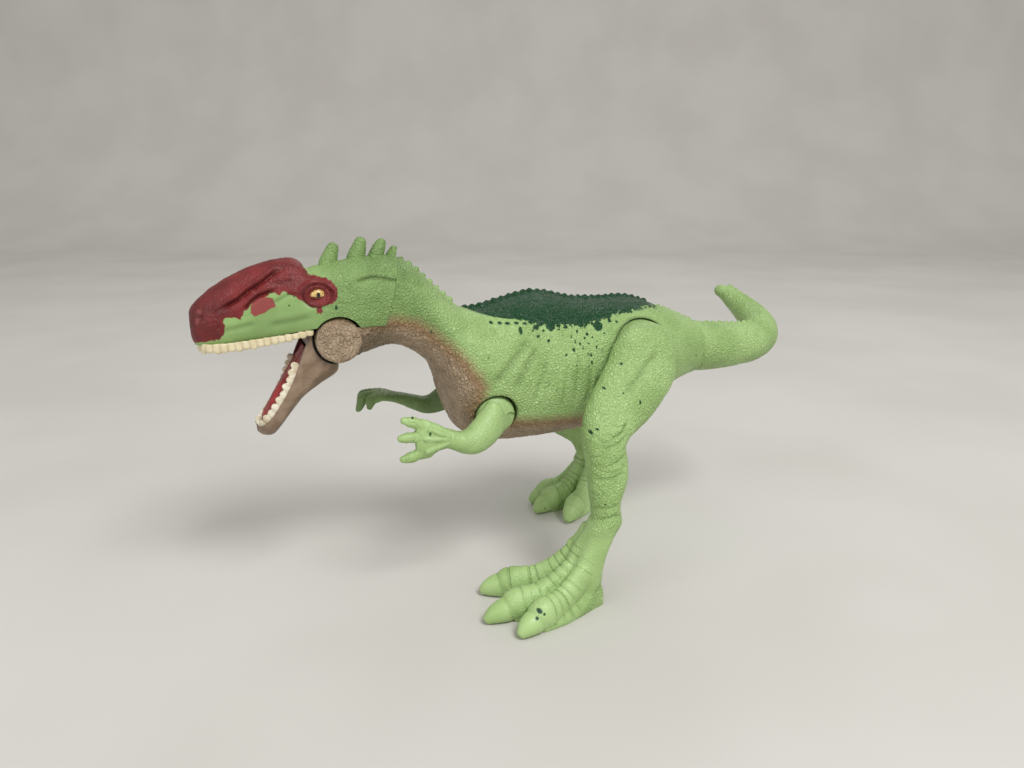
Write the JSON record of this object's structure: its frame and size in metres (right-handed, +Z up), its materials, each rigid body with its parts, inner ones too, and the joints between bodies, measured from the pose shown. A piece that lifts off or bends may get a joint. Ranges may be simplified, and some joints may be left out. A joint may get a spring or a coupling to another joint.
{
  "type": "toy dinosaur figure",
  "caption": "Moulded plastic two-legged dinosaur with a snout crest, hinged jaw, turning arms and legs and a curled tail that swivels.",
  "frame": {"origin": "middle of the underside of the figure's box, on the ground under the feet", "axes": "+X towards the tail, so the snout points along -X; +Y towards the toy's own right side; +Z up"},
  "size_m": [0.1504, 0.0708, 0.0813],
  "materials": {
    "skin": "light yellow-green, fine pebbled grain, soft semi-gloss",
    "head_skin": "slightly cooler green, fine grain, soft semi-gloss",
    "beige_skin": "beige-brown wrinkled skin, matte",
    "mouth": "dark red, smooth",
    "teeth": "cream, smooth",
    "steel": "zinc-plated steel",
    "pin": "ground steel"
  },
  "bodies": {
    "torso": {"left_torso_shell": "skin", "right_torso_shell": "skin", "torso_screw_1": "steel", "torso_screw_2": "steel", "torso_screw_3": "steel", "torso_screw_4": "steel", "head_shell": "head_skin", "palate_insert": "teeth", "jaw_pin": "pin"},
    "jaw": {"lower_jaw": "beige_skin", "tongue_insert": "mouth"},
    "left_arm": {"left_arm": "skin", "left_arm_washer": "steel", "left_arm_screw": "steel"},
    "right_arm": {"right_arm": "skin", "right_arm_washer": "steel", "right_arm_screw": "steel"},
    "left_leg": {"left_leg": "skin", "left_hip_washer": "steel", "left_hip_screw": "steel"},
    "right_leg": {"right_leg": "skin", "right_hip_washer": "steel", "right_hip_screw": "steel"},
    "tail": {"tail": "skin"}
  },
  "joints": [
    {"name": "jaw_hinge", "type": "hinge", "parent": "torso", "child": "jaw", "pos_m": [-0.04658, 0.00159, 0.06039], "axis": [0, 1, 0], "range_deg": [0, 32]},
    {"name": "left_shoulder", "type": "hinge", "parent": "torso", "child": "left_arm", "pos_m": [-0.01322, 0.00159, 0.04181], "axis": [0, 1, 0], "range_deg": [-75, 50]},
    {"name": "right_shoulder", "type": "hinge", "parent": "torso", "child": "right_arm", "pos_m": [-0.01322, 0.00159, 0.04181], "axis": [0, 1, 0], "range_deg": [-75, 50]},
    {"name": "left_hip", "type": "hinge", "parent": "torso", "child": "left_leg", "pos_m": [0.02274, 0.00159, 0.05294], "axis": [0, 1, 0], "range_deg": [-60, 20]},
    {"name": "right_hip", "type": "hinge", "parent": "torso", "child": "right_leg", "pos_m": [0.02274, 0.00159, 0.05294], "axis": [0, 1, 0], "range_deg": [-60, 20]},
    {"name": "tail_swivel", "type": "hinge", "parent": "torso", "child": "tail", "pos_m": [0.04422, 0.00159, 0.05122], "axis": [1, 0, 0], "continuous": true}
  ]
}
